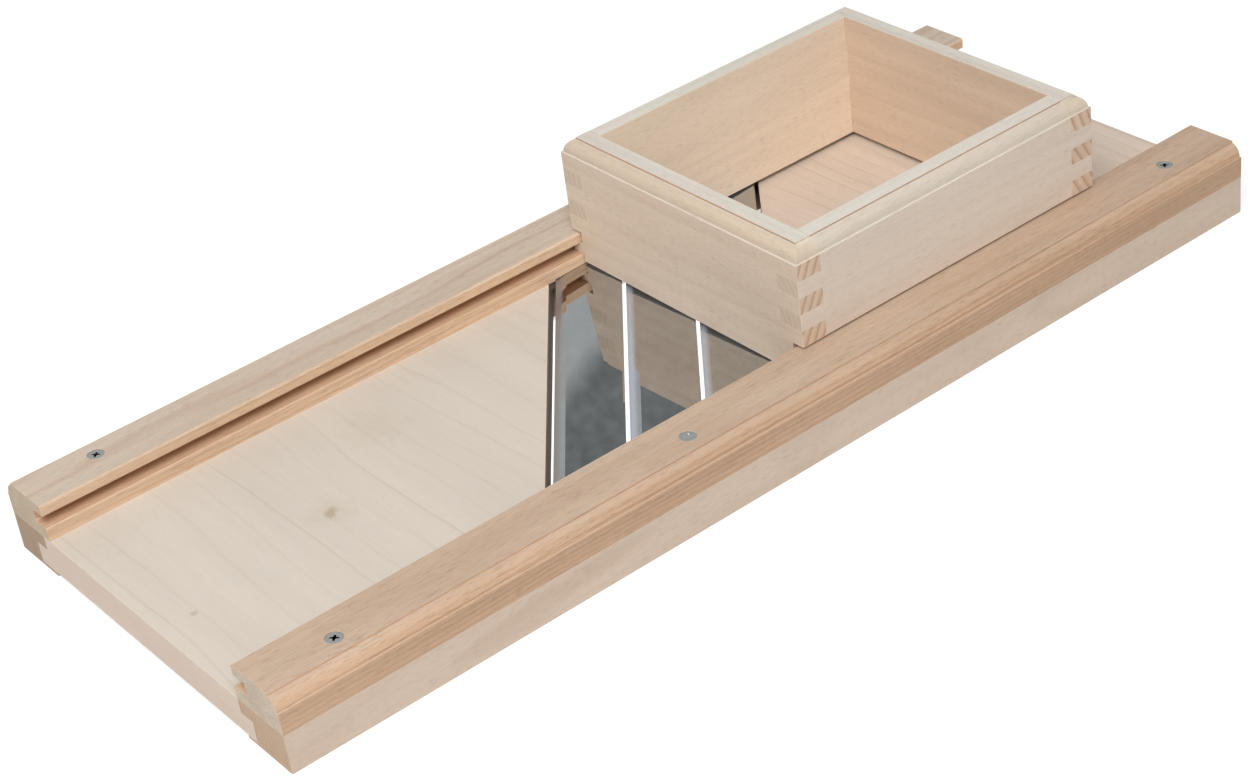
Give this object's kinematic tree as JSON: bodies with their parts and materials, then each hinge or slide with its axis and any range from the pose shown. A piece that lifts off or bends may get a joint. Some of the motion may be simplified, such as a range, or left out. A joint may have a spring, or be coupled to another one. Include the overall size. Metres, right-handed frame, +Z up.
{
  "type": "cabbage slicing board",
  "caption": "Beech slicing board with diagonal steel blades across a throat and an open hopper box that slides in rail grooves.",
  "frame": {"origin": "centre of the footprint, on the surface the rails stand on", "axes": "+X along the board towards the end where the box rests, +Y across the board, +Z up"},
  "size_m": [0.51, 0.2, 0.08],
  "materials": {
    "beech_base_rail": "planed, unfinished",
    "beech_guide_rail": "moulded, unfinished",
    "beech_deck": "sanded, unfinished",
    "beech_box": "sanded, unfinished",
    "blade_steel": "polished",
    "screw_steel": "zinc plated"
  },
  "bodies": {
    "board": {"near_base_rail": "beech_base_rail", "far_base_rail": "beech_base_rail", "near_guide_rail": "beech_guide_rail", "far_guide_rail": "beech_guide_rail", "front_deck": "beech_deck", "rear_deck": "beech_deck", "blade_front": "blade_steel", "blade_middle": "blade_steel", "blade_rear": "blade_steel", "rail_screws": "screw_steel"},
    "slide_box": {"box_front_wall": "beech_box", "box_back_wall": "beech_box", "box_near_wall": "beech_box", "box_far_wall": "beech_box"}
  },
  "joints": [
    {"name": "box_slide", "type": "slide", "parent": "board", "child": "slide_box", "axis": [1, 0, 0], "range_m": [-0.27, 0.068]}
  ]
}
